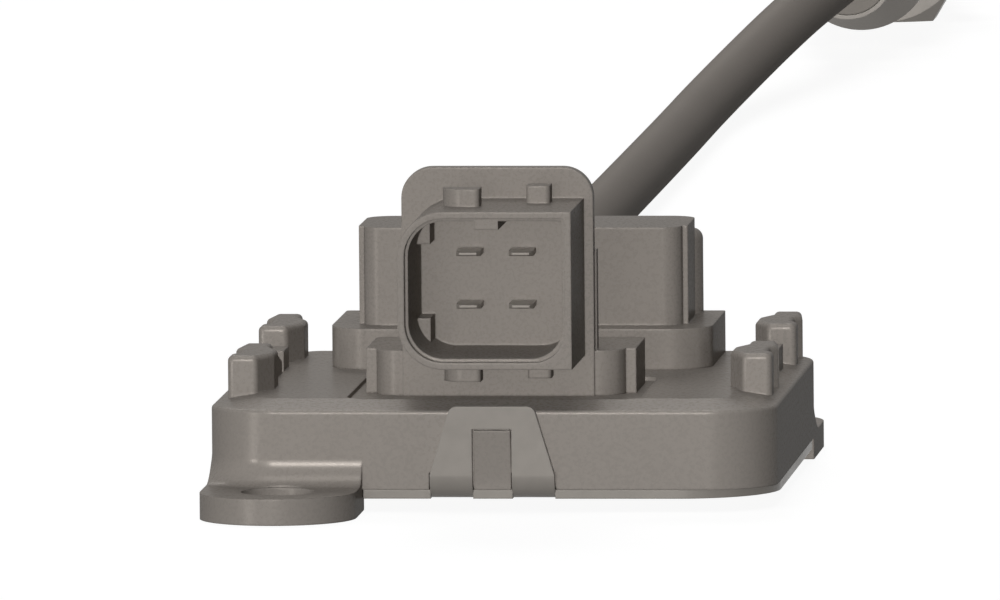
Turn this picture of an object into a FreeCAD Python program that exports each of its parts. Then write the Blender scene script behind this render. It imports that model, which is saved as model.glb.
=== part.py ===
import FreeCAD, Part
import math
import os

# Nitrogen oxide sensor: an electronics module with two bolting ears, a plug
# header and a cable tower, joined by one cable to a threaded gas probe.
# Millimetres. X runs across the module, Y from the plug towards the probe,
# Z up. The origin is the centre between the two ear holes, on the ears' underside.

# Module housing
housing_width = 64.6
housing_depth = 67.0
housing_corner = 7.6
side_height = 10.0
border_width = 5.5
border_rise = 0.9
rim_round = 0.4
wall = 2.2
roof_thickness = 2.2
underside_lift = 1.5

# Bolting ears
ear_thickness = 3.0
ear_radius = 8.9
ear_reach = 6.8
ear_blend = 3.0
bolt_hole_radius = 4.2
spot_face_radius = 4.9

# Folded base plate with its two snap tabs
plate_thickness = 1.0
plate_corner = 11.0
tab_top_width = 9.5
tab_foot_width = 14.2
tab_height = 10.6
tab_shift = 0.4
tab_bend_radius = 2.8
tab_corner = 1.0
tab_window_width = 4.5
tab_window_top = 8.0
catch_proud = 0.85
catch_height = 5.0
fit_clearance = 0.15

# Stacking pegs on the roof
peg_height = 5.05
peg_inset = 1.3
peg_length = 15.7
peg_front_width = 3.3
peg_waist_width = 5.0
peg_waist_start = 3.8
peg_waist_end = 8.2
peg_tail_width = 3.7
peg_tail_start = 12.0
peg_tail_taper = 0.55
peg_notch_depth = 0.8
peg_notch_start = 3.0
peg_notch_foot = 4.3
peg_notch_head = 8.5
peg_notch_end = 9.8
peg_front = -21.0
peg_right_shift = 2.8
peg_pitch = 35.4
peg_corner = 0.7
peg_round = 0.6

# Low rib behind each front peg: a ramp down from the peg, a gap and a block
rib_inner_inset = 5.3
rib_outer_inset = 2.45
ramp_top_drop = 0.3
ramp_foot_height = 1.3
ramp_end = 22.7
block_start = 24.9
block_end = 30.7
block_height = 2.3

# Plug header
header_pocket_depth = 0.45
header_pocket_margin = 1.3
header_pocket_reach = 8.0
header_pocket_corner = 2.0
foot_width = 30.9
foot_front = -20.3
foot_rear = -3.9
foot_height = 4.7
foot_strip = 1.2
foot_round = 3.0
foot_rear_corner = 1.5
flange_width = 21.9
flange_proud = 0.4
flange_thickness = 1.9
flange_height = 25.7
flange_corner = 3.5
shroud_width = 19.8
shroud_height = 17.95
shroud_lift = 4.2
shroud_depth = 17.2
shroud_wall = 1.15
shroud_corner = 5.2
shroud_small_corner = 3.6
mouth_step = 0.35
mouth_step_depth = 1.2
key_width = 2.75
key_shift = 0.175
key_height = 1.0
corner_key_reach = 1.55
corner_key_height = 3.6
corner_key_depth = 5.4
rib_height = 2.0
rib_depth = 3.2
wide_rib_left = -5.4
wide_rib_width = 4.35
wide_rib_setback = 6.2
wide_rib_round = 2.7
narrow_rib_left = 3.9
narrow_rib_width = 2.7
narrow_rib_setback = 10.6
narrow_rib_round = 0.5
hood_depth = 9.8
hood_width = 19.0
hood_height = 20.6
hood_round = 5.0
hood_wall = 1.5
hood_base_extra = 0.2
hood_base_depth = 1.8
hood_base_height = 16.1

# Blade terminals
blade_width = 2.8
blade_thickness = 0.6
blade_pitch = 6.0
blade_reach = 4.5
blade_low_height = 10.2
blade_taper = 0.8
blade_tip_thickness = 0.3
blade_bend = 0.9
low_bend_setback = 3.0
high_bend_setback = 6.4
tail_width = 1.2
tail_neck = 4.0
tail_reach = 1.0

# Cable tower
step_width = 44.0
step_front = 5.5
step_rear = 28.0
step_height = 4.7
step_corner = 4.9
step_rear_corner = 0.5
tower_width = 38.0
tower_strip = 0.6
tower_front = 9.8
tower_rear = 24.7
tower_height = 16.0
tower_round = 2.2
tower_rear_round = 3.0
rear_block_width = 39.1
rear_block_front = 22.5
rear_block_rear = 30.5
rear_block_height = 14.4
rear_block_corner = 3.9
rear_block_round = 1.2
tower_wall = 2.2
opening_corner = 1.0

# Seals
seal_margin = 1.4
seal_width = 1.3
seal_height = 0.9
seal_corner = 2.5
seal_inner_corner = 0.2
plate_seal_width = 1.6
plate_seal_height = 1.2

# Circuit board and what it carries
board_lift = 2.2
board_thickness = 1.6
board_margin = 2.0
board_corner = 5.0
boss_radius = 3.0
boss_inset_x = 5.6
boss_inset_y = 5.8
screw_radius = 1.25
screw_head_radius = 2.3
screw_head_height = 1.4
screw_length = 5.0
pilot_clearance = 0.05
controller_size = 10.0
controller_height = 1.4
driver_size = 7.0
driver_height = 1.0
capacitor_radius = 2.0
capacitor_height = 3.2
capacitor_pitch = 5.2
coil_size = 5.0
coil_height = 2.6
coil_corner = 0.8
pad_size = 12.0
hole_play = 0.1

# Gland, strain relief and wires
cable_diameter = 7.0
cable_axis_height = 20.7
gland_spigot_radius = 5.5
gland_collar_radius = 8.0
gland_collar_length = 2.0
nut_flats = 14.0
nut_length = 7.0
nut_chamfer = 1.0
nut_dome_length = 3.0
nut_dome_step = 0.4
nut_dome_radius = 5.6
boot_length = 13.5
boot_root_radius = 5.2
boot_tip_radius = 4.3
boot_grooves = 4
boot_groove_depth = 0.5
boot_groove_share = 0.2
wire_radius = 0.5
wire_pitch = 1.4
wire_row_offset = 0.95
wire_bore_radius = 2.6
wire_bend_radius = 2.5
low_wire_y = 17.6
high_wire_setback = 3.2

# Cable route after the strain relief, and the probe's place
probe_x = -5.2
probe_y = 567.4
cable_bend_share = 0.45
cable_bends = [
    (0.0, 90.0, 20.7),
    (-4.2, 132.0, 10.6),
    (-11.0, 176.0, 3.5),
    (-16.1, 232.0, 3.5),
    (-15.4, 466.0, 3.5),
    (-8.6, 522.0, 9.2),
    (-5.2, 546.0, 12.0),
]

# Probe, measured along its axis from the face that the cable enters
probe_wall = 0.6
neck_radius = 6.4
neck_length = 18.0
neck_grooves = 3
neck_groove_pitch = 4.0
neck_groove_depth = 0.3
shoulder_length = 6.0
shell_radius = 9.85
shell_length = 62.3
hex_flats = 24.0
hex_length = 11.0
hex_chamfer = 1.2
collar_length = 7.0
collar_radius = 11.8
collar_face_length = 1.8
washer_thickness = 2.0
washer_radius = 11.7
relief_radius = 9.3
relief_play = 0.2
thread_radius = 10.0
thread_length = 12.0
thread_chamfer = 0.8
nose_length = 3.0
core_bore_radius = 6.0
core_mouth_radius = 4.0
core_seat_length = 2.0
core_play = 0.1
front_ceramic_length = 10.0
talc_length = 10.0
rear_ceramic_length = 18.0
contact_pocket_length = 12.0
contact_pocket_width = 5.0
contact_pocket_height = 2.6
element_width = 4.0
element_thickness = 1.5
element_start_gap = 0.5
element_tip_gap = 3.0
element_play = 0.1
spring_width = 0.9
spring_thickness = 0.3
grommet_length = 16.0
outer_tube_radius = 7.0
outer_tube_length = 26.0
outer_hole_place = 19.5
inner_tube_radius = 5.0
inner_tube_length = 20.0
inner_hole_place = 8.0
inner_tube_wall = 0.5
tube_end_round = 1.6
tube_hole_radius = 1.1
tube_hole_count = 8
inner_hole_radius = 0.9
inner_hole_count = 6
end_hole_radius = 1.5

# Below this length two points count as one
tiny = 0.001

# Levels above the ears' underside
underside = underside_lift
plate_top = underside + plate_thickness
side_top = underside + side_height
roof_top = side_top + border_rise
roof_under = roof_top - roof_thickness
peg_top = roof_top - border_rise + peg_height
pocket_floor = roof_top - header_pocket_depth
board_under = plate_top + board_lift
board_top = board_under + board_thickness
cavity_corner = housing_corner - wall
hole_x = housing_width / 2 - ear_radius
hole_y = housing_depth / 2 + ear_reach
flange_face = foot_front - flange_proud
flange_back = flange_face + flange_thickness
shroud_front = flange_face - shroud_depth
shroud_low = pocket_floor + shroud_lift + header_pocket_depth
probe_z = hex_flats / 2


def vec(x, y, z):
    return FreeCAD.Vector(x, y, z)


def plan_at(z):
    return lambda a, b: vec(a, b, z)


def front_at(y):
    return lambda a, b: vec(a, y, b)


def side_at(x):
    return lambda a, b: vec(x, a, b)


# Closed outline through the given corners, each (a, b, radius).
def rounded_outline(corners, place):
    arcs = []
    for index, (a, b, radius) in enumerate(corners):
        here = vec(a, b, 0)
        before = vec(corners[index - 1][0], corners[index - 1][1], 0)
        after_corner = corners[(index + 1) % len(corners)]
        after = vec(after_corner[0], after_corner[1], 0)
        back = (before - here).normalize()
        onward = (after - here).normalize()
        if radius <= 0:
            arcs.append((here, None, here))
            continue
        half = back.getAngle(onward) / 2
        middle = (back + onward).normalize()
        reach = radius / math.tan(half)
        centre = here + middle * (radius / math.sin(half))
        arcs.append((here + back * reach, centre - middle * radius, here + onward * reach))
    edges = []
    for index, (start, bulge, end) in enumerate(arcs):
        if bulge is not None:
            points = [place(point.x, point.y) for point in (start, bulge, end)]
            edges.append(Part.Arc(*points).toShape())
        following = arcs[(index + 1) % len(arcs)][0]
        if end.distanceToPoint(following) > tiny:
            edges.append(Part.LineSegment(place(end.x, end.y), place(following.x, following.y)).toShape())
    return Part.Wire(edges)


def prism(corners, place, sweep):
    return Part.Face(rounded_outline(corners, place)).extrude(sweep)


def rectangle(x_low, x_high, y_low, y_high, radius=0.0):
    return [(x_low, y_low, radius), (x_high, y_low, radius), (x_high, y_high, radius), (x_low, y_high, radius)]


def upright(corners, low, high):
    return prism(corners, plan_at(low), vec(0, 0, high - low))


def forward(corners, front, rear):
    return prism(corners, front_at(front), vec(0, rear - front, 0))


def across(corners, left, right):
    return prism(corners, side_at(left), vec(right - left, 0, 0))


def pillar(x, y, low, high, radius):
    return Part.makeCylinder(radius, high - low, vec(x, y, low))


# Turned piece on an axis along Y: profile corners are (distance along, radius).
def turned(profile, x, y, z):
    points = [vec(x + radius, y + along, z) for along, radius in profile]
    face = Part.Face(Part.makePolygon(points + points[:1]))
    return face.revolve(vec(x, y, z), vec(0, 1, 0), 360)


def rod(x, y, z, length, radius):
    return Part.makeCylinder(radius, length, vec(x, y, z), vec(0, 1, 0))


# Hexagonal bar along Y that lies on one flat, its corners turned down at both ends.
def hex_bar(x, y, z, flats, length, chamfer):
    corner_radius = flats / math.sqrt(3)
    corners = []
    for side in range(6):
        angle = math.radians(60 * side)
        corners.append((x + corner_radius * math.cos(angle), z + corner_radius * math.sin(angle), 0))
    bar = forward(corners, y, y + length)
    face_radius = flats / 2
    slope = (corner_radius - face_radius) * chamfer
    profile = [(0, 0), (0, face_radius), (slope, corner_radius)]
    profile += [(length - slope, corner_radius), (length, face_radius), (length, 0)]
    return bar.common(turned(profile, x, y, z))


def edges_where(shape, test):
    return [edge for edge in shape.Edges if test(edge)]


def lies_level(edge, z):
    box = edge.BoundBox
    return abs(box.ZMin - z) < tiny and abs(box.ZMax - z) < tiny


def fuse_all(shapes):
    return shapes[0].multiFuse(shapes[1:]).removeSplitter()


def half_turned(shape):
    copy = shape.copy()
    copy.rotate(vec(0, 0, 0), vec(0, 0, 1), 180)
    return copy


def both_ears(shape):
    return [shape, half_turned(shape)]


def both_tabs(shape):
    front = shape.copy()
    front.translate(vec(tab_shift, 0, 0))
    return both_ears(front)


def housing_outline(inset, radius):
    half_x = housing_width / 2 - inset
    half_y = housing_depth / 2 - inset
    return rectangle(-half_x, half_x, -half_y, half_y, radius)


# Side walls and the shallow border that rises to the flat of the roof.
def housing_block():
    walls = upright(housing_outline(0, housing_corner), plate_top, side_top)
    flat_corner = max(housing_corner - border_width, rim_round)
    low_rim = rounded_outline(housing_outline(0, housing_corner), plan_at(side_top))
    high_rim = rounded_outline(housing_outline(border_width, flat_corner), plan_at(roof_top))
    border = Part.makeLoft([low_rim, high_rim], True, True)
    block = fuse_all([walls, border])
    rim = edges_where(block, lambda edge: lies_level(edge, side_top))
    return block.makeFillet(rim_round, rim)


def ear_outline(growth):
    outer = housing_width / 2 + growth
    inner = outer - 2 * (ear_radius + growth)
    tip = hole_y + ear_radius + growth
    root = housing_depth / 2 - housing_corner
    return [(-outer, -tip, ear_radius + growth), (inner * -1, -tip, ear_radius + growth),
            (inner * -1, -root, 0), (-outer, -root, 0)]


# Hollow blend between the ear's top and the wall, straight along the front
# and turned round the housing's corner, trimmed to the ear's own outline.
def ear_blend_solid():
    base = ear_thickness
    bite = wall / 2
    corner_x = housing_width / 2 - housing_corner
    corner_y = housing_depth / 2 - housing_corner

    def profile(x):
        def at(out, z):
            return vec(x, -(corner_y + housing_corner + out), z)
        knee = ear_blend * (1 - math.sqrt(0.5))
        edges = [
            Part.LineSegment(at(-bite, base - bite), at(ear_blend, base - bite)).toShape(),
            Part.LineSegment(at(ear_blend, base - bite), at(ear_blend, base)).toShape(),
            Part.Arc(at(ear_blend, base), at(knee, base + knee), at(0, base + ear_blend)).toShape(),
            Part.LineSegment(at(0, base + ear_blend), at(-bite, base + ear_blend)).toShape(),
            Part.LineSegment(at(-bite, base + ear_blend), at(-bite, base - bite)).toShape(),
        ]
        return Part.Face(Part.Wire(edges))

    straight = profile(-corner_x).extrude(vec(corner_x - hole_x + ear_radius, 0, 0))
    corner = profile(-corner_x).revolve(vec(-corner_x, -corner_y, 0), vec(0, 0, 1), -90)
    outline = upright(ear_outline(0), 0, base + ear_blend)
    return straight.fuse(corner).common(outline)


def ear():
    return upright(ear_outline(0), 0, ear_thickness).fuse(ear_blend_solid())


def ear_hole():
    spot_top = ear_thickness + ear_blend + fit_clearance
    spot = pillar(-hole_x, -hole_y, ear_thickness, spot_top, spot_face_radius)
    return spot.fuse(pillar(-hole_x, -hole_y, -fit_clearance, spot_top, bolt_hole_radius))


def peg_outline(side, front):
    outer = housing_width / 2 - peg_inset
    notch = outer - peg_notch_depth
    tail = outer - peg_tail_width
    waist = outer - peg_waist_width
    shape = [
        (outer, 0), (outer, peg_notch_start), (notch, peg_notch_foot), (notch, peg_notch_head),
        (outer, peg_notch_end), (outer - peg_tail_taper, peg_length), (tail, peg_length),
        (tail, peg_tail_start), (waist, peg_waist_end), (waist, peg_waist_start),
        (outer - peg_front_width, 0),
    ]
    corners = [(side * x, front + y, peg_corner) for x, y in shape]
    return corners if side > 0 else corners[::-1]


def peg(side, front):
    stem = upright(peg_outline(side, front), side_top - rim_round, peg_top)
    rim = edges_where(stem, lambda edge: lies_level(edge, peg_top))
    return stem.makeFillet(peg_round, rim)


def peg_rib(side, front):
    inner = side * (housing_width / 2 - rib_inner_inset)
    outer = side * (housing_width / 2 - rib_outer_inset)
    left, right = sorted((inner, outer))
    base = side_top - rim_round
    start = front + peg_length - peg_corner
    ramp = [(start, base, 0), (front + ramp_end, base, 0), (front + ramp_end, roof_top + ramp_foot_height, 0),
            (start, peg_top - ramp_top_drop - peg_round, 0)]
    block = rectangle(front + block_start, front + block_end, base, roof_top + block_height)
    return [across(ramp, left, right), across(block, left, right)]


# Wedge on the wall that the tab's window snaps over.
def catch():
    face = -housing_depth / 2
    top = underside + tab_window_top - fit_clearance
    half = tab_window_width / 2 - fit_clearance
    profile = [(face + wall / 2, top, 0), (face - catch_proud, top, 0),
               (face, top - catch_height, 0), (face + wall / 2, top - catch_height, 0)]
    return across(profile, -half, half)


# Relief in the wall for the two bent legs of a tab.
def leg_reliefs():
    face = -housing_depth / 2
    depth = tab_bend_radius - plate_thickness + fit_clearance
    top = underside + tab_bend_radius + fit_clearance
    inner = tab_window_width / 2 - fit_clearance
    outer = tab_foot_width / 2 + fit_clearance
    reliefs = []
    for low, high in ((-outer, -inner), (inner, outer)):
        reliefs.append(upright(rectangle(low, high, face - wall, face + depth), underside, top))
    return fuse_all(reliefs)


def boss_places():
    x = housing_width / 2 - wall - boss_inset_x
    y = housing_depth / 2 - wall - boss_inset_y
    return [(-x, -y), (x, -y), (x, y), (-x, y)]


def header_opening():
    half = foot_width / 2 - seal_margin - seal_width - wall / 2
    front = foot_front + seal_margin + seal_width + fit_clearance
    rear = foot_rear - seal_margin - seal_width - fit_clearance
    return upright(rectangle(-half, half, front, rear, opening_corner), roof_under - wall, roof_top + wall)


def tower_opening():
    half = tower_width / 2 - 2 * tower_wall
    front = step_front + seal_margin + seal_width + tower_wall
    rear = step_rear - seal_margin - seal_width - fit_clearance
    return upright(rectangle(-half, half, front, rear, opening_corner), roof_under - wall, roof_top + wall)


def header_pocket():
    margin = header_pocket_margin
    outline = rectangle(-foot_width / 2 - margin, foot_width / 2 + margin,
                        foot_front - header_pocket_reach, foot_rear + margin, header_pocket_corner)
    return upright(outline, pocket_floor, roof_top + wall)


def module_housing():
    bosses = [pillar(x, y, board_top, roof_under + wall / 2, boss_radius) for x, y in boss_places()]
    pegs = []
    for side, front in ((-1, peg_front), (1, peg_front + peg_right_shift)):
        pegs.append(peg(side, front))
        pegs.append(peg(side, front + peg_pitch))
        pegs.extend(peg_rib(side, front))
    outer = fuse_all([housing_block()] + both_ears(ear()) + both_tabs(catch()))
    cavity = upright(housing_outline(wall, cavity_corner), -wall, roof_under)
    shell = outer.cut(cavity)
    body = fuse_all([shell] + bosses + pegs)
    cuts = both_ears(ear_hole()) + both_tabs(leg_reliefs())
    cuts += [header_opening(), tower_opening(), header_pocket()]
    pilot_top = board_top + screw_length
    for x, y in boss_places():
        cuts.append(pillar(x, y, board_under, pilot_top, screw_radius + pilot_clearance))
    for cut in cuts:
        body = body.cut(cut)
    return body


def tab_face_outline():
    top = underside + tab_height
    half_top = tab_top_width / 2
    half_foot = tab_foot_width / 2
    bend_top = underside + tab_bend_radius
    low = underside - plate_thickness
    return [(-half_foot, low, 0), (half_foot, low, 0), (half_foot, bend_top, 0), (half_top, top, tab_corner),
            (-half_top, top, tab_corner), (-half_foot, bend_top, 0)]


# One tab: a strip folded up from the plate, split into two legs by its window.
def snap_tab():
    face = -housing_depth / 2
    outside = face - plate_thickness
    bend_y = outside + tab_bend_radius
    bend_z = underside + tab_bend_radius
    top = underside + tab_height
    inner_radius = tab_bend_radius - plate_thickness
    sine = math.sqrt(0.5)
    tail = bend_y + wall

    def at(y, z):
        return vec(-tab_foot_width, y, z)

    edges = [
        Part.LineSegment(at(tail, underside), at(bend_y, underside)).toShape(),
        Part.Arc(at(bend_y, underside), at(bend_y - tab_bend_radius * sine, bend_z - tab_bend_radius * sine),
                 at(outside, bend_z)).toShape(),
        Part.LineSegment(at(outside, bend_z), at(outside, top)).toShape(),
        Part.LineSegment(at(outside, top), at(face, top)).toShape(),
        Part.LineSegment(at(face, top), at(face, bend_z)).toShape(),
        Part.Arc(at(face, bend_z), at(bend_y - inner_radius * sine, bend_z - inner_radius * sine),
                 at(bend_y, plate_top)).toShape(),
        Part.LineSegment(at(bend_y, plate_top), at(tail, plate_top)).toShape(),
        Part.LineSegment(at(tail, plate_top), at(tail, underside)).toShape(),
    ]
    strip = Part.Face(Part.Wire(edges)).extrude(vec(2 * tab_foot_width, 0, 0))
    outline = forward(tab_face_outline(), outside - wall, tail + wall)
    half = tab_window_width / 2
    window = forward(rectangle(-half, half, 0, underside + tab_window_top), outside - wall, bend_y)
    return strip.common(outline).cut(window)


def leg_cut():
    face = -housing_depth / 2
    bend_y = face - plate_thickness + tab_bend_radius
    half_window = tab_window_width / 2
    half_foot = tab_foot_width / 2
    cuts = []
    for low, high in ((-half_foot, -half_window), (half_window, half_foot)):
        cuts.append(upright(rectangle(low, high, face - wall, bend_y), 0, plate_top + wall))
    return fuse_all(cuts)


def base_plate():
    plate = upright(housing_outline(0, plate_corner), underside, plate_top)
    ear_room = upright(ear_outline(fit_clearance), 0, ear_thickness)
    inside = upright(housing_outline(wall + fit_clearance, cavity_corner), 0, ear_thickness)
    ear_room = ear_room.cut(inside)
    for notch in both_ears(ear_room) + both_tabs(leg_cut()):
        plate = plate.cut(notch)
    return fuse_all([plate] + both_tabs(snap_tab()))


def ring(x_low, x_high, y_low, y_high, radius, width, low, high):
    outer = upright(rectangle(x_low, x_high, y_low, y_high, radius), low, high)
    inner_radius = max(radius - width, seal_inner_corner)
    inner = rectangle(x_low + width, x_high - width, y_low + width, y_high - width, inner_radius)
    return outer.cut(upright(inner, low, high))


def plate_seal():
    half_x = housing_width / 2 - wall - fit_clearance
    half_y = housing_depth / 2 - wall - fit_clearance
    return ring(-half_x, half_x, -half_y, half_y, cavity_corner, plate_seal_width,
                plate_top, plate_top + plate_seal_height)


def header_seal(low, high):
    half = foot_width / 2 - seal_margin
    return ring(-half, half, foot_front + seal_margin, foot_rear - seal_margin, seal_corner, seal_width, low, high)


def tower_seal(low, high):
    half = step_width / 2 - seal_margin
    return ring(-half, half, step_front + seal_margin, step_rear - seal_margin, seal_corner, seal_width, low, high)


def header_foot():
    half = foot_width / 2
    boss = half - foot_strip
    strip_y = foot_front + foot_round
    corners = [
        (-half, strip_y, 0), (-boss, strip_y, 0), (-boss, foot_front, foot_round),
        (boss, foot_front, foot_round), (boss, strip_y, 0), (half, strip_y, 0),
        (half, foot_rear, foot_rear_corner), (-half, foot_rear, foot_rear_corner),
    ]
    return upright(corners, pocket_floor, roof_top + foot_height)


def header_flange():
    half = flange_width / 2
    top = roof_top + flange_height
    corners = [(-half, pocket_floor, 0), (half, pocket_floor, 0),
               (half, top, flange_corner), (-half, top, flange_corner)]
    return forward(corners, flange_face, flange_back)


# Hood behind the flange that covers the bent legs of the terminals.
def header_hood():
    base = pocket_floor + roof_thickness
    top = roof_top + hood_height
    rear = flange_back + hood_depth
    profile = [(flange_back - fit_clearance, base, 0), (rear, base, 0),
               (rear, top, hood_round), (flange_back - fit_clearance, top, 0)]
    upper = across(profile, -hood_width / 2, hood_width / 2)
    half = flange_width / 2 + hood_base_extra
    plan = rectangle(-half, half, flange_back - fit_clearance, flange_back + hood_base_depth)
    return upper.fuse(upright(plan, base, roof_top + hood_base_height))


def hood_room():
    top = roof_top + hood_height - hood_wall
    front = flange_back + hood_wall / 2
    rear = flange_back + hood_depth - hood_wall
    half = hood_width / 2 - hood_wall
    return across([(front, 0, 0), (rear, 0, 0), (rear, top, hood_round - hood_wall), (front, top, 0)], -half, half)


def shroud_outline(inset):
    half = shroud_width / 2 - inset
    low = shroud_low + inset
    high = shroud_low + shroud_height - inset
    left = shroud_corner - inset
    if inset == 0:
        return [(-half, low, left), (half, low, 0), (half, high, 0), (-half, high, left)]
    return [(-half, low, left), (half, low, shroud_small_corner), (half, high, rim_round), (-half, high, left)]


def shroud_keys():
    half = shroud_width / 2 - shroud_wall
    low = shroud_low + shroud_wall
    high = shroud_low + shroud_height - shroud_wall
    bite = shroud_wall / 2
    front = shroud_front + mouth_step_depth
    key_left = key_shift - key_width / 2
    key = rectangle(key_left, key_left + key_width, high - key_height, high + bite)
    centre = forward(key, front, flange_face)
    key_front = flange_face - corner_key_depth
    left = -half - bite
    right = -half + corner_key_reach
    upper = forward(rectangle(left, right, high - corner_key_height, high + bite), key_front, flange_face)
    lower = forward(rectangle(left, right, low - bite, low + corner_key_height), key_front, flange_face)
    inside = forward(shroud_outline(bite), front, flange_face)
    return [centre.common(inside), upper.common(inside), lower.common(inside)]


def shroud_ribs():
    top = shroud_low + shroud_height
    wide = wide_rib_left + wide_rib_width
    narrow = narrow_rib_left + narrow_rib_width
    wide_front = shroud_front + wide_rib_setback
    narrow_front = shroud_front + narrow_rib_setback
    wide_outline = [(wide_rib_left, wide_front, wide_rib_round), (wide, wide_front, narrow_rib_round),
                    (wide, wide_front + rib_depth, 0), (wide_rib_left, wide_front + rib_depth, 0)]
    narrow_outline = [(narrow_rib_left, narrow_front, narrow_rib_round), (narrow, narrow_front, narrow_rib_round),
                      (narrow, narrow_front + rib_depth, 0), (narrow_rib_left, narrow_front + rib_depth, 0)]
    ribs = []
    for outline in (wide_outline, narrow_outline):
        ribs.append(upright(outline, top - shroud_wall / 2, top + rib_height))
        ribs.append(upright(outline, shroud_low - rib_height, shroud_low + shroud_wall / 2))
    return ribs


def terminal_rows():
    low = roof_top + blade_low_height
    return [(low, low_bend_setback), (low + blade_pitch, high_bend_setback)]


# Flat blade in the shroud, bent down behind the flange and narrowed to a tail for the board.
def blade_terminal(x, z, bend_setback):
    tip = flange_face - blade_reach
    leg = flange_back + bend_setback
    half = blade_thickness / 2
    tip_half = blade_tip_thickness / 2
    bottom = board_under - tail_reach
    neck = board_top + tail_neck
    profile = [
        (tip, z - tip_half, 0), (tip + blade_taper, z - half, 0), (leg - half, z - half, blade_bend - half),
        (leg - half, neck, 0), (leg + half, neck, 0), (leg + half, z + half, blade_bend + half),
        (tip + blade_taper, z + half, 0), (tip, z + tip_half, 0),
    ]
    blade = across(profile, x - blade_width / 2, x + blade_width / 2)
    side = blade_width / 2
    plan = [(x - side + blade_taper / 2, tip, 0), (x + side - blade_taper / 2, tip, 0),
            (x + side, tip + blade_taper, 0), (x + side, leg + blade_width, 0),
            (x - side, leg + blade_width, 0), (x - side, tip + blade_taper, 0)]
    blade = blade.common(upright(plan, neck, z + blade_width))
    tail = upright(rectangle(x - tail_width / 2, x + tail_width / 2, leg - half, leg + half), bottom, neck)
    return fuse_all([blade, tail])


def terminals():
    pieces = []
    for z, setback in terminal_rows():
        for x in (-blade_pitch / 2, blade_pitch / 2):
            pieces.append(blade_terminal(x, z, setback))
    return pieces


def connector_header(blades):
    outer = fuse_all([header_foot(), header_flange(), header_hood()])
    shroud = forward(shroud_outline(0), shroud_front, flange_face)
    cavity = forward(shroud_outline(shroud_wall), shroud_front, flange_face)
    mouth = forward(shroud_outline(shroud_wall - mouth_step), shroud_front, shroud_front + mouth_step_depth)
    shroud = shroud.cut(cavity).cut(mouth)
    body = fuse_all([outer, shroud] + shroud_ribs() + shroud_keys())
    body = body.cut(hood_room())
    body = body.cut(header_seal(pocket_floor, pocket_floor + seal_height))
    for blade in blades:
        body = body.cut(blade)
    return body


def tower_body():
    half = tower_width / 2
    boss = half - tower_strip
    strip_y = tower_front + tower_round
    corners = [
        (-half, strip_y, 0), (-boss, strip_y, 0), (-boss, tower_front, tower_round),
        (boss, tower_front, tower_round), (boss, strip_y, 0), (half, strip_y, 0),
        (half, tower_rear, tower_rear_round), (-half, tower_rear, tower_rear_round),
    ]
    return upright(corners, roof_top, roof_top + tower_height)


def rear_block():
    half = rear_block_width / 2
    top = roof_top + rear_block_height
    outline = rectangle(-half, half, rear_block_front, rear_block_rear, rear_block_corner)
    block = upright(outline, roof_top + step_height, top)
    rim = edges_where(block, lambda edge: lies_level(edge, top))
    return block.makeFillet(rear_block_round, rim)


def cable_tower():
    half = step_width / 2
    step_outline = [(-half, step_front, step_corner), (half, step_front, step_corner),
                    (half, step_rear, step_rear_corner), (-half, step_rear, step_rear_corner)]
    step = upright(step_outline, roof_top, roof_top + step_height)
    body = fuse_all([step, tower_body(), rear_block()])
    room_half = tower_width / 2 - 2 * tower_wall
    room_front = tower_front + tower_wall + fit_clearance
    room_rear = rear_block_rear - tower_wall - fit_clearance
    room_top = roof_top + rear_block_height - tower_wall
    throat_rear = step_rear - seal_margin - seal_width - fit_clearance
    room = rectangle(-room_half, room_half, room_front, room_rear, opening_corner)
    body = body.cut(upright(room, roof_top + step_height + tower_wall / 2, room_top))
    throat = rectangle(-room_half, room_half, room_front, throat_rear, opening_corner)
    body = body.cut(upright(throat, roof_top - wall, room_top))
    bore = rod(0, room_rear - tower_wall, cable_axis_height, 2 * tower_wall + wall, gland_spigot_radius + core_play)
    body = body.cut(bore)
    return body.cut(tower_seal(roof_top, roof_top + seal_height))


# Gland along the cable's axis: spigot in the tower, collar, hexagonal nut and boot.
def gland_body():
    spigot = tower_wall
    profile = [(-spigot, wire_bore_radius), (-spigot, gland_spigot_radius), (0, gland_spigot_radius),
               (0, gland_collar_radius), (gland_collar_length, gland_collar_radius),
               (gland_collar_length, wire_bore_radius)]
    return turned(profile, 0, rear_block_rear, cable_axis_height)


def gland_nut():
    start = rear_block_rear + gland_collar_length
    nut = hex_bar(0, start, cable_axis_height, nut_flats, nut_length, nut_chamfer)
    dome_foot = nut_flats / 2 - nut_dome_step
    dome = turned([(0, 0), (0, dome_foot), (nut_dome_length, nut_dome_radius), (nut_dome_length, 0)],
                  0, start + nut_length, cable_axis_height)
    bore = rod(0, start, cable_axis_height, nut_length + nut_dome_length, wire_bore_radius)
    return fuse_all([nut, dome]).cut(bore)


def boot_start():
    return rear_block_rear + gland_collar_length + nut_length + nut_dome_length


def strain_relief():
    length = boot_length
    profile = [(0, wire_bore_radius), (0, boot_root_radius), (length, boot_tip_radius), (length, wire_bore_radius)]
    boot = turned(profile, 0, boot_start(), cable_axis_height)
    pitch = length / (boot_grooves + 1)
    for index in range(boot_grooves):
        along = pitch * (index + 1)
        radius = boot_root_radius + (boot_tip_radius - boot_root_radius) * along / length
        half = pitch * boot_groove_share
        low = radius - boot_groove_depth
        groove = [(along - half, low), (along - half, boot_root_radius), (along + half, boot_root_radius),
                  (along + half, low)]
        boot = boot.cut(turned(groove, 0, boot_start(), cable_axis_height))
    return boot


def wire_places():
    places = []
    for x in (-wire_pitch, 0, wire_pitch):
        places.append((x, -wire_row_offset, low_wire_y))
        places.append((x, wire_row_offset, low_wire_y - high_wire_setback))
    return places


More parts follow.
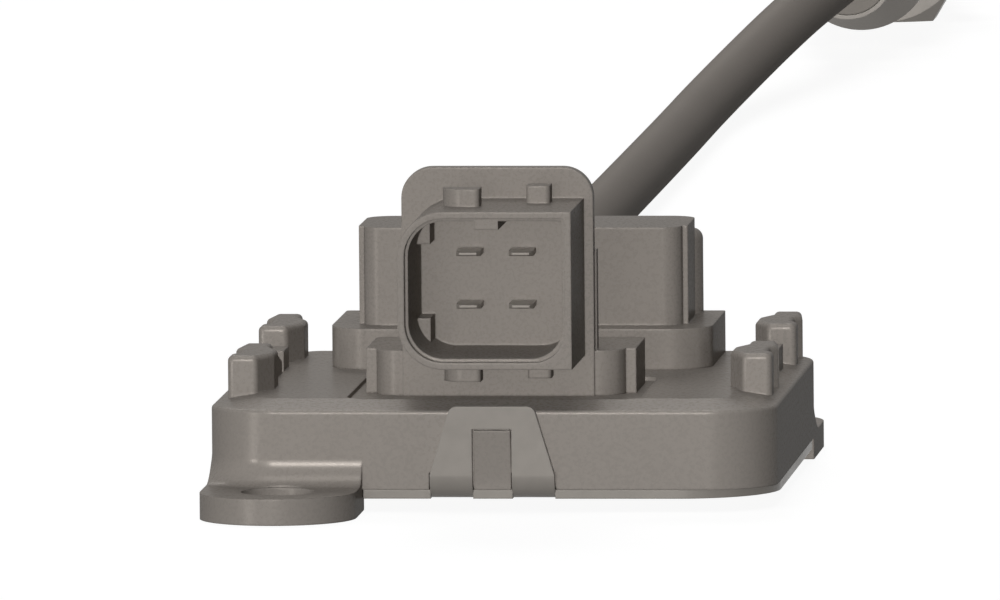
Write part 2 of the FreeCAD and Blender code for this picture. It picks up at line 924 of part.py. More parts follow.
# Wire from the cable's end, along the gland, then down through the board.
def module_wire(x, row, down_y):
    start = boot_start() + boot_length
    z = cable_axis_height + row
    bend = wire_bend_radius
    sine = math.sqrt(0.5)
    bottom = board_under - tail_reach
    middle = vec(x, down_y + bend * (1 - sine), z - bend * (1 - sine))
    path = Part.Wire([
        Part.LineSegment(vec(x, start, z), vec(x, down_y + bend, z)).toShape(),
        Part.Arc(vec(x, down_y + bend, z), middle, vec(x, down_y, z - bend)).toShape(),
        Part.LineSegment(vec(x, down_y, z - bend), vec(x, down_y, bottom)).toShape(),
    ])
    section = Part.Wire(Part.makeCircle(wire_radius, vec(x, start, z), vec(0, -1, 0)))
    return path.makePipeShell([section], True, False)


def board_screw(x, y):
    head = pillar(x, y, board_under - screw_head_height, board_under, screw_head_radius)
    shank = pillar(x, y, board_under, board_under + screw_length, screw_radius)
    return head.fuse(shank).removeSplitter()


def circuit_board():
    margin = wall + board_margin
    board = upright(housing_outline(margin, board_corner), board_under, board_top)
    for x, y in boss_places():
        board = board.cut(pillar(x, y, board_under, board_top, screw_radius + hole_play))
    for z, setback in terminal_rows():
        y = flange_back + setback
        for x in (-blade_pitch / 2, blade_pitch / 2):
            board = board.cut(pillar(x, y, board_under, board_top, tail_width / 2 + hole_play))
    for x, row, y in wire_places():
        board = board.cut(pillar(x, y, board_under, board_top, wire_radius + hole_play))
    return board


def chip(x, y, size, height):
    outline = rectangle(x - size / 2, x + size / 2, y - size / 2, y + size / 2)
    return upright(outline, board_top, board_top + height)


def controller_chip():
    return chip(housing_width / 4, capacitor_pitch - housing_depth / 4, controller_size, controller_height)


def capacitors():
    cans = []
    for index in range(3):
        x = capacitor_pitch * (index - 1) - housing_width / 4
        y = foot_rear + capacitor_pitch
        cans.append(pillar(x, y, board_top, board_top + capacitor_height, capacitor_radius))
    return Part.makeCompound(cans)


def power_coil():
    x = housing_width / 4
    y = foot_rear + capacitor_pitch
    half = coil_size / 2
    outline = rectangle(x - half, x + half, y - half, y + half, coil_corner)
    return upright(outline, board_top, board_top + coil_height)


def thermal_pad():
    half = pad_size / 2
    return upright(rectangle(-half, half, -half, half), plate_top, board_under)


# The cable's path: straight runs joined by arcs as large as the runs allow.
def cable_points():
    start = [(0.0, boot_start() + boot_length, cable_axis_height)]
    end = [(probe_x, probe_y, probe_z)]
    return [vec(*point) for point in start + cable_bends + end]


def cable_wire():
    points = cable_points()
    edges = []
    last = points[0]
    for before, here, after in zip(points, points[1:], points[2:]):
        back = (before - here).normalize()
        onward = (after - here).normalize()
        half_turn = (math.pi - back.getAngle(onward)) / 2
        reach = cable_bend_share * min(before.distanceToPoint(here), here.distanceToPoint(after))
        radius = reach / math.tan(half_turn)
        print("cable arc radius", round(radius, 1))
        start = here + back * reach
        end = here + onward * reach
        middle = (back + onward).normalize()
        bulge = here + middle * (radius / math.cos(half_turn) - radius)
        edges.append(Part.LineSegment(last, start).toShape())
        edges.append(Part.Arc(start, bulge, end).toShape())
        last = end
    edges.append(Part.LineSegment(last, points[-1]).toShape())
    return Part.Wire(edges)


def sensor_cable():
    path = cable_wire()
    start = cable_points()[0]
    section = Part.Wire(Part.makeCircle(cable_diameter / 2, start, vec(0, 1, 0)))
    tube = path.makePipeShell([section], True, False)
    expected = math.pi * (cable_diameter / 2) ** 2 * path.Length
    print("cable length", round(path.Length, 1), "volume ratio", round(tube.Volume / expected, 4))
    return tube


def probe_turned(profile):
    return turned(profile, probe_x, probe_y, probe_z)


def tube_profile(start, length, radius, thickness):
    end = start + length
    return [(start, radius - thickness), (start, radius), (end, radius), (end, radius - thickness)]


# Drawn shell: a crimped neck for the cable, a shoulder and the body that meets the hexagon.
def probe_shell():
    inner_neck = neck_radius - probe_wall
    inner_body = shell_radius - probe_wall
    shoulder_end = neck_length + shoulder_length
    shell = probe_turned([
        (0, inner_neck), (0, neck_radius), (neck_length, neck_radius), (shoulder_end, shell_radius),
        (shell_length, shell_radius), (shell_length, inner_body), (shoulder_end, inner_body), (neck_length, inner_neck),
    ])
    for index in range(neck_grooves):
        along = neck_groove_pitch * (index + 1)
        width = neck_groove_pitch / 4
        low = neck_radius - neck_groove_depth
        over = neck_radius + neck_groove_depth
        groove = [(along - width, over), (along - width / 2, low), (along + width / 2, low),
                  (along + width, over)]
        shell = shell.cut(probe_turned(groove))
    return shell


def probe_grommet():
    radius = neck_radius - probe_wall - core_play / 2
    return probe_turned(tube_profile(0, grommet_length, radius, radius - wire_bore_radius))


def hex_end():
    return shell_length + hex_length


def washer_start():
    return hex_end() + collar_face_length


def thread_start():
    return washer_start() + washer_thickness + relief_play


def thread_end():
    return thread_start() + thread_length


def nose_end():
    return thread_end() + nose_length


def core_seat():
    return thread_end() - core_seat_length


# Probe body in one piece: press collar, hexagon, seat for the washer, threaded shank and nose.
def hex_fitting():
    nose_radius = outer_tube_radius - probe_wall - core_play / 2
    collar = shell_radius - probe_wall - core_play / 2
    rear = shell_length - collar_length
    shaft = probe_turned([
        (rear, 0), (rear, collar), (shell_length, collar), (hex_end(), collar),
        (hex_end(), collar_radius), (washer_start(), collar_radius), (washer_start(), relief_radius),
        (thread_start(), relief_radius), (thread_start(), thread_radius),
        (thread_end() - thread_chamfer, thread_radius), (thread_end(), thread_radius - thread_chamfer),
        (thread_end(), nose_radius), (nose_end(), nose_radius), (nose_end(), 0),
    ])
    hexagon = hex_bar(probe_x, probe_y + shell_length, probe_z, hex_flats, hex_length, hex_chamfer)
    bore = probe_turned([
        (rear, 0), (rear, core_bore_radius), (core_seat(), core_bore_radius),
        (core_seat(), core_mouth_radius), (nose_end(), core_mouth_radius), (nose_end(), 0),
    ])
    return fuse_all([shaft, hexagon]).cut(bore)


def sealing_washer():
    return probe_turned(tube_profile(washer_start(), washer_thickness, washer_radius,
                                     washer_radius - relief_radius - core_play))


def probe_rectangle(half_width, half_height):
    return rectangle(probe_x - half_width, probe_x + half_width, probe_z - half_height, probe_z + half_height)


def core_slot(start, length):
    half_width = element_width / 2 + element_play
    half_thickness = element_thickness / 2 + element_play
    corners = probe_rectangle(half_width, half_thickness)
    return forward(corners, probe_y + start, probe_y + start + length)


def core_ring(start, length):
    ring_solid = rod(probe_x, probe_y + start, probe_z, length, core_bore_radius - core_play / 2)
    return ring_solid.cut(core_slot(start, length))


def front_ceramic():
    return core_ring(core_seat() - front_ceramic_length, front_ceramic_length)


def talc_packing():
    return core_ring(core_seat() - front_ceramic_length - talc_length, talc_length)


def rear_ceramic_start():
    return core_seat() - front_ceramic_length - talc_length - rear_ceramic_length


def rear_ceramic():
    start = rear_ceramic_start()
    body = core_ring(start, rear_ceramic_length)
    half_width = contact_pocket_width / 2
    half_height = contact_pocket_height / 2
    corners = probe_rectangle(half_width, half_height)
    return body.cut(forward(corners, probe_y + start, probe_y + start + contact_pocket_length))


def sensing_element():
    start = rear_ceramic_start() + element_start_gap
    length = nose_end() + inner_tube_length - inner_tube_wall - element_tip_gap - start
    half_width = element_width / 2
    half_thickness = element_thickness / 2
    corners = probe_rectangle(half_width, half_thickness)
    return forward(corners, probe_y + start, probe_y + start + length)


# Three flat springs on each side of the element, each at the end of its wire.
def contact_springs():
    start = rear_ceramic_start()
    springs = []
    low = element_thickness / 2
    for x in (-wire_pitch, 0, wire_pitch):
        for side in (-1, 1):
            edges = sorted((side * low, side * (low + spring_thickness)))
            corners = rectangle(probe_x + x - spring_width / 2, probe_x + x + spring_width / 2,
                                probe_z + edges[0], probe_z + edges[1])
            springs.append(forward(corners, probe_y + start, probe_y + start + contact_pocket_length))
    return Part.makeCompound(springs)


def probe_wires():
    wires = []
    for place in wire_places():
        wires.append(rod(probe_x + place[0], probe_y, probe_z + place[1], rear_ceramic_start(), wire_radius))
    return Part.makeCompound(wires)


# Closed tube with a row of gas holes round its wall and one in its end.
def gas_tube(start, length, radius, thickness, hole_radius, hole_count, hole_along):
    inner = radius - thickness
    end = start + length
    tube = probe_turned([
        (start, inner), (start, radius), (end - tube_end_round, radius), (end, radius - tube_end_round),
        (end, 0), (end - thickness, 0), (end - thickness, radius - tube_end_round),
        (end - tube_end_round, inner),
    ])
    for index in range(hole_count):
        angle = 2 * math.pi * (index + 0.5) / hole_count
        centre = vec(probe_x, probe_y + hole_along, probe_z)
        direction = vec(math.cos(angle), 0, math.sin(angle))
        tube = tube.cut(Part.makeCylinder(hole_radius, 2 * radius, centre, direction))
    return tube.cut(rod(probe_x, probe_y + end - tube_end_round, probe_z, 2 * tube_end_round, end_hole_radius))


def outer_tip_tube():
    along = thread_end() + outer_hole_place
    return gas_tube(thread_end(), outer_tube_length, outer_tube_radius, probe_wall, tube_hole_radius,
                    tube_hole_count, along)


def inner_tip_tube():
    along = nose_end() + inner_hole_place
    return gas_tube(nose_end(), inner_tube_length, inner_tube_radius, inner_tube_wall, inner_hole_radius,
                    inner_hole_count, along)


def all_pieces():
    blades = terminals()
    pieces = {
        "module_housing": module_housing(),
        "base_plate": base_plate(),
        "plate_seal": plate_seal(),
        "connector_header": connector_header(blades),
        "header_seal": header_seal(pocket_floor, pocket_floor + seal_height),
        "cable_tower": cable_tower(),
        "tower_seal": tower_seal(roof_top, roof_top + seal_height),
        "gland_body": gland_body(),
        "gland_nut": gland_nut(),
        "strain_relief": strain_relief(),
        "module_wires": Part.makeCompound([module_wire(*place) for place in wire_places()]),
        "circuit_board": circuit_board(),
        "board_screws": Part.makeCompound([board_screw(x, y) for x, y in boss_places()]),
        "controller_chip": controller_chip(),
        "driver_chip": chip(0, 0, driver_size, driver_height),
        "capacitors": capacitors(),
        "power_coil": power_coil(),
        "thermal_pad": thermal_pad(),
        "sensor_cable": sensor_cable(),
        "probe_shell": probe_shell(),
        "probe_grommet": probe_grommet(),
        "probe_wires": probe_wires(),
        "contact_springs": contact_springs(),
        "rear_ceramic": rear_ceramic(),
        "talc_packing": talc_packing(),
        "front_ceramic": front_ceramic(),
        "sensing_element": sensing_element(),
        "hex_fitting": hex_fitting(),
        "sealing_washer": sealing_washer(),
        "outer_tip_tube": outer_tip_tube(),
        "inner_tip_tube": inner_tip_tube(),
    }
    for index, blade in enumerate(blades):
        pieces["blade_terminal_" + str(index + 1)] = blade
    return pieces


os.makedirs("parts", exist_ok=True)
for name, shape in all_pieces().items():
    print(name, "solids", len(shape.Solids), "volume", round(shape.Volume, 1), "valid", shape.isValid())
    shape.exportStep("parts/" + name + ".step")
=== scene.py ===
import bmesh
import bpy
import math
from mathutils import Matrix, Vector


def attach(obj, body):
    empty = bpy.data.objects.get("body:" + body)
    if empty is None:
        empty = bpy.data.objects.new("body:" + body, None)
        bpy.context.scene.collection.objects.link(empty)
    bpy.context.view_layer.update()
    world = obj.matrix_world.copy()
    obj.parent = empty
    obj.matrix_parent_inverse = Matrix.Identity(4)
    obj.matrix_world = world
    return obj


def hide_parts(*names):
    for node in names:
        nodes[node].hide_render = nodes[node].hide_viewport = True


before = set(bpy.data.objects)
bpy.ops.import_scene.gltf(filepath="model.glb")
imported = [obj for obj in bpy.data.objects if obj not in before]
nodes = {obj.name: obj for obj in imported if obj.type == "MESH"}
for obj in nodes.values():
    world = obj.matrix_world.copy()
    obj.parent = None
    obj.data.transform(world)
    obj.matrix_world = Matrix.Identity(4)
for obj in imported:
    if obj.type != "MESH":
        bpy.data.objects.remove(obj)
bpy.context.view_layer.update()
mm = 0.001


def tone(red, green, blue):  # screen colour 0..255 to the shader's linear colour
    channels = []
    for value in (red, green, blue):
        share = value / 255
        channels.append(share / 12.92 if share <= 0.04045 else ((share + 0.055) / 1.055) ** 2.4)
    return (*channels, 1.0)


# Camera: a long lens, from the front and a little above. Distance and target are in metres.

cameraView = {"azimuth": 5.2, "elevation": 5.4, "roll": 0.5, "lens": 920.0, "sensor": 36.0,
              "distance": 2.91397, "target": (-0.0002033, -0.015886, 0.0224685), "farClip": 20.0}


def placeCamera():
    azimuth, elevation, roll = (math.radians(cameraView[key]) for key in ("azimuth", "elevation", "roll"))
    away = Vector((-math.sin(azimuth) * math.cos(elevation), math.cos(azimuth) * math.cos(elevation),
                   -math.sin(elevation)))
    level = Vector((math.cos(azimuth), math.sin(azimuth), 0))
    plumb = level.cross(away)
    right = level * math.cos(roll) - plumb * math.sin(roll)
    up = level * math.sin(roll) + plumb * math.cos(roll)
    lens = bpy.data.cameras.new("studioCamera")
    lens.lens = cameraView["lens"]
    lens.sensor_width = cameraView["sensor"]
    lens.clip_end = cameraView["farClip"]
    camera = bpy.data.objects.new("studioCamera", lens)
    turn = Matrix((right, up, -away)).transposed().to_4x4()
    stand = Vector(cameraView["target"]) - away * cameraView["distance"]
    camera.matrix_world = Matrix.Translation(stand) @ turn
    bpy.context.scene.collection.objects.link(camera)
    bpy.context.scene.camera = camera
    print("camera placed")


placeCamera()


# Cable: from the strain relief down to the floor, along it and up into the probe.
# Its length is in metres, the rest in millimetres.

cableRun = {"diameter": 7.0, "length": 0.5147, "exit": (0.0, 56.0, 20.7), "lineSteps": 16, "ringSteps": 10,
            "points": [(0.0, 56.0, 20.7), (0.0, 90.0, 20.7), (-4.2, 132.0, 10.6), (-11.0, 176.0, 3.5),
                       (-16.1, 232.0, 3.5), (-15.93, 288.0, 3.5), (-15.67, 410.0, 3.5), (-15.85, 466.0, 3.5),
                       (-9.8, 522.0, 9.2), (-5.8, 546.0, 12.0), (-5.2, 567.4, 12.0)]}


def layCable():
    curve = bpy.data.curves.new("sensorCable", "CURVE")
    curve.dimensions = "3D"
    line = curve.splines.new("NURBS")
    line.points.add(len(cableRun["points"]) - 1)
    for point, place in zip(line.points, cableRun["points"]):
        point.co = (place[0] * mm, place[1] * mm, place[2] * mm, 1)
        point.radius = cableRun["diameter"] * mm / 2
    line.order_u = 3
    line.use_endpoint_u = True
    line.resolution_u = cableRun["lineSteps"]
    curve.bevel_depth = 1.0  # each point's own radius gives the thickness
    curve.bevel_resolution = cableRun["ringSteps"]
    curve.use_fill_caps = True
    cable = bpy.data.objects.new("sensorCable", curve)
    bpy.context.scene.collection.objects.link(cable)
    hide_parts("sensor_cable")
    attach(cable, "root")
    print("cable laid")
    return cable


cable = layCable()


# Shader effects that several finishes share

def newGroup(name, inputs, outputs):
    tree = bpy.data.node_groups.new(name, "ShaderNodeTree")
    for way, sockets in (("INPUT", inputs), ("OUTPUT", outputs)):
        for socketName, kind in sockets.items():
            tree.interface.new_socket(name=socketName, in_out=way, socket_type="NodeSocket" + kind)
    return tree, tree.nodes.new("NodeGroupInput"), tree.nodes.new("NodeGroupOutput")


def feed(tree, value, socket):  # a number is set on the socket, anything else is linked to it
    if isinstance(value, (int, float)):
        socket.default_value = value
    else:
        tree.links.new(value, socket)


def mathNode(tree, operation, *values):
    node = tree.nodes.new("ShaderNodeMath")
    node.operation = operation
    for value, socket in zip(values, node.inputs):
        feed(tree, value, socket)
    return node.outputs[0]


def rangeNode(tree, value, fromLow, fromHigh, toLow, toHigh):
    node = tree.nodes.new("ShaderNodeMapRange")
    for item, socket in zip((value, fromLow, fromHigh, toLow, toHigh), node.inputs):
        feed(tree, item, socket)
    return node.outputs[0]


def vectorNode(tree, operation, first, second):
    node = tree.nodes.new("ShaderNodeVectorMath")
    node.operation = operation
    tree.links.new(first, node.inputs[0])
    tree.links.new(second, node.inputs["Scale" if operation == "SCALE" else 1])
    return node.outputs["Value" if operation == "DOT_PRODUCT" else "Vector"]


def noiseNode(tree, place, scale, detail, roughness):
    node = tree.nodes.new("ShaderNodeTexNoise")
    values = {"Vector": place, "Scale": scale, "Detail": detail, "Roughness": roughness}
    for socketName, value in values.items():
        feed(tree, value, node.inputs[socketName])
    return node.outputs["Fac"]


def mixedColor(tree, factor, first, second):
    node = tree.nodes.new("ShaderNodeMix")
    node.data_type = "RGBA"
    for value, socketName in ((factor, "Factor"), (first, "A"), (second, "B")):
        tree.links.new(value, node.inputs[socketName])
    return node.outputs["Result"]


# Fine grain of a moulded, cast or sintered surface, with slow cloudy variation under it

grainMix = {"detail": 3.0, "fineRoughness": 0.55, "cloudRoughness": 0.5, "fineShare": 0.55,
            "cloudShare": 0.45, "colorRange": (0.35, 0.65), "roughRange": (0.3, 0.7)}


def makeGrainGroup():
    tree, entry, leave = newGroup("surfaceGrain", {
        "Color": "Color", "Spread": "Float", "Fine Scale": "Float", "Cloud Scale": "Float",
        "Rough Low": "Float", "Rough High": "Float", "Stretch": "Vector",
    }, {"Color": "Color", "Roughness": "Float", "Height": "Float"})
    given = entry.outputs
    place = tree.nodes.new("ShaderNodeTexCoord").outputs["Object"]
    stretched = vectorNode(tree, "MULTIPLY", place, given["Stretch"])
    fine = noiseNode(tree, stretched, given["Fine Scale"], grainMix["detail"], grainMix["fineRoughness"])
    cloud = noiseNode(tree, place, given["Cloud Scale"], grainMix["detail"], grainMix["cloudRoughness"])
    fineShare = mathNode(tree, "MULTIPLY", fine, grainMix["fineShare"])
    cloudShare = mathNode(tree, "MULTIPLY", cloud, grainMix["cloudShare"])
    low = mathNode(tree, "SUBTRACT", 1.0, given["Spread"])
    high = mathNode(tree, "ADD", 1.0, given["Spread"])
    amount = rangeNode(tree, mathNode(tree, "ADD", fineShare, cloudShare), *grainMix["colorRange"], low, high)
    tree.links.new(vectorNode(tree, "SCALE", given["Color"], amount), leave.inputs["Color"])
    rough = rangeNode(tree, fine, *grainMix["roughRange"], given["Rough Low"], given["Rough High"])
    tree.links.new(rough, leave.inputs["Roughness"])
    tree.links.new(fine, leave.inputs["Height"])
    return tree


# Rounded look of an edge: a softened normal, and a mask where a lighter edge colour is mixed in, partly wear
# and partly a painted highlight

edgeMask = {"samples": 4, "flatDot": 0.99, "sharpDot": 0.8}


def makeEdgeGroup():
    tree, entry, leave = newGroup("softEdge", {
        "Color": "Color", "Edge Wear And Highlight": "Color", "Radius": "Float", "Strength": "Float",
    }, {"Color": "Color", "Normal": "Vector"})
    bevel = tree.nodes.new("ShaderNodeBevel")
    bevel.samples = edgeMask["samples"]
    tree.links.new(entry.outputs["Radius"], bevel.inputs["Radius"])
    surface = tree.nodes.new("ShaderNodeNewGeometry")
    dot = vectorNode(tree, "DOT_PRODUCT", bevel.outputs["Normal"], surface.outputs["Normal"])
    wearAndHighlightMask = rangeNode(tree, dot, edgeMask["flatDot"], edgeMask["sharpDot"], 0.0, 1.0)
    wearAndHighlightMask = mathNode(tree, "MULTIPLY", wearAndHighlightMask, entry.outputs["Strength"])
    # the lighter edge colour stands partly for wear and partly for a painted highlight along the edges
    wornAndHighlighted = mixedColor(tree, wearAndHighlightMask, entry.outputs["Color"], entry.outputs["Edge Wear And Highlight"])
    tree.links.new(wornAndHighlighted, leave.inputs["Color"])
    tree.links.new(bevel.outputs["Normal"], leave.inputs["Normal"])
    return tree


grainGroup = makeGrainGroup()
edgeGroup = makeEdgeGroup()


# A finish: grain, softened edges and a lighter edge colour (partly wear, partly a painted highlight) around
# one Principled shader. Lengths are in millimetres.

def makeFinish(name, look):
    material = bpy.data.materials.new(name)
    material.use_nodes = True
    tree = material.node_tree
    shader = tree.nodes["Principled BSDF"]
    grain, edge = tree.nodes.new("ShaderNodeGroup"), tree.nodes.new("ShaderNodeGroup")
    grain.node_tree, edge.node_tree = grainGroup, edgeGroup
    bump = tree.nodes.new("ShaderNodeBump")
    settings = [
        (grain, {"Color": tone(*look["color"]), "Spread": look["spread"], "Fine Scale": look["fineScale"],
                 "Cloud Scale": look["cloudScale"], "Stretch": look["stretch"],
                 "Rough Low": look["rough"][0], "Rough High": look["rough"][1]}),
        (edge, {"Edge Wear And Highlight": tone(*look["edgeColor"]), "Radius": look["edgeRadius"] * mm,
                "Strength": look["edgeStrength"]}),
        (bump, {"Strength": look["bump"], "Distance": look["bumpDepth"] * mm}),
        (shader, {"Metallic": look["metallic"], "Specular IOR Level": look["specular"]}),
    ]
    for node, values in settings:
        for socketName, value in values.items():
            node.inputs[socketName].default_value = value
    tree.links.new(grain.outputs["Color"], edge.inputs["Color"])
    tree.links.new(edge.outputs["Color"], shader.inputs["Base Color"])
    tree.links.new(grain.outputs["Roughness"], shader.inputs["Roughness"])
    tree.links.new(grain.outputs["Height"], bump.inputs["Height"])
    tree.links.new(edge.outputs["Normal"], bump.inputs["Normal"])
    tree.links.new(bump.outputs["Normal"], shader.inputs["Normal"])
    material.diffuse_color = tone(*look["color"])
    return material


# The edge colour and its strength lighten each edge: partly wear, partly a painted highlight.
plastic = {"color": (140, 134, 128), "spread": 0.035, "fineScale": 2200.0, "cloudScale": 45.0,
           "stretch": (1.0, 1.0, 1.0), "rough": (0.25, 0.31), "edgeColor": (176, 169, 162), "edgeRadius": 0.3,
           "edgeStrength": 0.15, "bump": 0.25, "bumpDepth": 0.02, "specular": 0.0, "metallic": 0.12}
metal = {"color": (150, 145, 139), "spread": 0.05, "fineScale": 500.0, "cloudScale": 60.0,
         "stretch": (1.0, 1.0, 1.0), "rough": (0.34, 0.46), "edgeColor": (186, 181, 174), "edgeRadius": 0.2,
         "edgeStrength": 0.25, "bump": 0.2, "bumpDepth": 0.01, "specular": 0.1, "metallic": 0.45}


def plasticLook(**changes):
    return {**plastic, **changes}


def metalLook(**changes):
    return {**metal, **changes}


finishLooks = {
    "housing_plastic": plasticLook(),
    "header_plastic": plasticLook(color=(136, 130, 124), fineScale=2600.0),
    "plate_metal": metalLook(color=(137, 132, 126), stretch=(1.0, 0.08, 1.0), metallic=0.15),
    "seal_rubber": plasticLook(color=(62, 60, 58), rough=(0.6, 0.72), edgeStrength=0.1),
    "boot_rubber": plasticLook(color=(132, 127, 121), rough=(0.5, 0.6), edgeStrength=0.1),
    "gland_metal": metalLook(color=(168, 163, 156), stretch=(1.0, 0.1, 1.0)),
    "wire_insulation": plasticLook(color=(196, 192, 184), rough=(0.35, 0.45), edgeStrength=0.0),
    "board_laminate": plasticLook(color=(46, 98, 66), rough=(0.25, 0.35), edgeColor=(150, 140, 96)),
    "fastener_steel": metalLook(color=(176, 176, 178)),
    "chip_black": plasticLook(color=(40, 40, 42), rough=(0.5, 0.6), edgeStrength=0.2),
    "can_metal": metalLook(color=(196, 196, 198), stretch=(1.0, 1.0, 0.1)),
    "coil_ferrite": plasticLook(color=(70, 70, 72), rough=(0.55, 0.65)),
    "terminal_metal": metalLook(color=(146, 140, 133), stretch=(1.0, 0.1, 1.0), metallic=0.15,
                                edgeStrength=0.1),
    "cable_sheath": plasticLook(color=(134, 128, 122), rough=(0.5, 0.6), edgeStrength=0.0, fineScale=1500.0),
    "probe_steel": metalLook(color=(146, 141, 135), stretch=(1.0, 0.06, 1.0), metallic=0.25),
    "washer_metal": metalLook(color=(160, 155, 148)),
    "core_ceramic": plasticLook(color=(226, 222, 214), rough=(0.5, 0.6), edgeStrength=0.1),
    "core_talc": plasticLook(color=(208, 204, 196), rough=(0.7, 0.8), spread=0.08, edgeStrength=0.0),
}
finishes = {name: makeFinish(name + "Finish", look) for name, look in finishLooks.items()}
print("finishes made:", len(finishes))


# Which finish each CAD node wears

nodeFinishes = {
    "module_housing": "housing_plastic", "connector_header": "header_plastic",
    "cable_tower": "header_plastic", "base_plate": "plate_metal", "plate_seal": "seal_rubber",
    "header_seal": "seal_rubber", "tower_seal": "seal_rubber", "gland_body": "gland_metal",
    "gland_nut": "gland_metal", "strain_relief": "boot_rubber", "module_wires": "wire_insulation",
    "circuit_board": "board_laminate", "board_screws": "fastener_steel", "controller_chip": "chip_black",
    "driver_chip": "chip_black", "capacitors": "can_metal", "power_coil": "coil_ferrite",
    "thermal_pad": "seal_rubber",
    "blade_terminal_1": "terminal_metal", "blade_terminal_2": "terminal_metal",
    "blade_terminal_3": "terminal_metal", "blade_terminal_4": "terminal_metal",
    "sensor_cable": "cable_sheath", "probe_shell": "probe_steel", "probe_grommet": "boot_rubber",
    "probe_wires": "wire_insulation", "contact_springs": "terminal_metal", "rear_ceramic": "core_ceramic",
    "talc_packing": "core_talc", "front_ceramic": "core_ceramic", "sensing_element": "core_ceramic",
    "hex_fitting": "probe_steel", "sealing_washer": "washer_metal", "outer_tip_tube": "probe_steel",
    "inner_tip_tube": "probe_steel",
}


def dressNodes():
    for nodeName, finishName in nodeFinishes.items():
        materials = nodes[nodeName].data.materials
        materials.clear()
        materials.append(finishes[finishName])
    cable.data.materials.append(finishes["cable_sheath"])
    print("nodes dressed:", len(nodeFinishes))


dressNodes()


# Visible rigid pieces as one welded mesh each, smooth round their curves and crisp at their edges.
# Lengths and levels are in millimetres, angles in degrees; broad is the least area beside a crease.

smoothCut = {"weld": 0.002, "flat": 0.6, "sharp": 28.0, "crease": 4.0, "broad": 40.0, "level": 0.02,
             "weight": 80}
creaseLevels = {"module_housing": 12.4}  # height of the roof's flat, crisp against its border
mouldedPieces = [("housingShell", "module_housing"), ("plugHeader", "connector_header"),
                 ("cableTower", "cable_tower"), ("basePlate", "base_plate")]
turnedPieces = [("glandNut", "gland_nut"), ("glandBody", "gland_body"), ("strainBoot", "strain_relief"),
                ("probeShell", "probe_shell"), ("sealingWasher", "sealing_washer"),
                ("outerTipTube", "outer_tip_tube"), ("innerTipTube", "inner_tip_tube")]


def weldedMesh(nodeName, pieceName, keepCreases):
    work = bmesh.new()
    work.from_mesh(nodes[nodeName].data)
    bmesh.ops.remove_doubles(work, verts=work.verts, dist=smoothCut["weld"] * mm)
    flat = math.radians(smoothCut["flat"])
    bmesh.ops.dissolve_limit(work, angle_limit=flat, verts=work.verts, edges=work.edges)
    level = creaseLevels.get(nodeName)
    for face in work.faces:
        face.smooth = True
    for joint in work.edges:
        if len(joint.link_faces) != 2:
            continue
        angle = math.degrees(joint.calc_face_angle(0))
        joint.smooth = angle < smoothCut["sharp"]
        if keepCreases and angle > smoothCut["crease"]:
            smallest = min(face.calc_area() for face in joint.link_faces)
            if smallest > smoothCut["broad"] * mm * mm:
                joint.smooth = False
            if level and all(abs(end.co.z / mm - level) < smoothCut["level"] for end in joint.verts):
                joint.smooth = False
    mesh = bpy.data.meshes.new(pieceName)
    work.to_mesh(mesh)
    work.free()
    return mesh


def addPiece(pieceName, mesh, slotName, replaced):
    piece = bpy.data.objects.new(pieceName, mesh)
    bpy.context.scene.collection.objects.link(piece)
    mesh.materials.clear()
    mesh.materials.append(finishes[slotName])
    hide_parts(*replaced)
    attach(piece, "root")
    return piece


def weightNormals(piece):
    weigh = piece.modifiers.new("weigh", "WEIGHTED_NORMAL")
    weigh.keep_sharp = True
    weigh.weight = smoothCut["weight"]


def smoothVisiblePieces():
    for pieces, keepCreases in ((mouldedPieces, True), (turnedPieces, False)):
        for pieceName, nodeName in pieces:
            mesh = weldedMesh(nodeName, pieceName, keepCreases)
            weightNormals(addPiece(pieceName, mesh, nodeFinishes[nodeName], [nodeName]))
    print("smooth pieces:", len(mouldedPieces) + len(turnedPieces))


smoothVisiblePieces()


# Probe body: turned steel with a rolled helical thread. Lengths are in millimetres.

threadCut = {"pitch": 1.5, "crest": 10.0, "root": 9.12, "start": 644.75, "end": 655.6, "axisX": -5.2,
             "axisZ": 12.0, "steps": 48, "runoutShare": 0.06, "runoutScale": 0.05, "topShare": 0.16,
             "baseShare": 0.92, "sunk": 0.04, "zoneBefore": 0.1, "zoneAfter": 0.4, "crestSlack": 0.05}


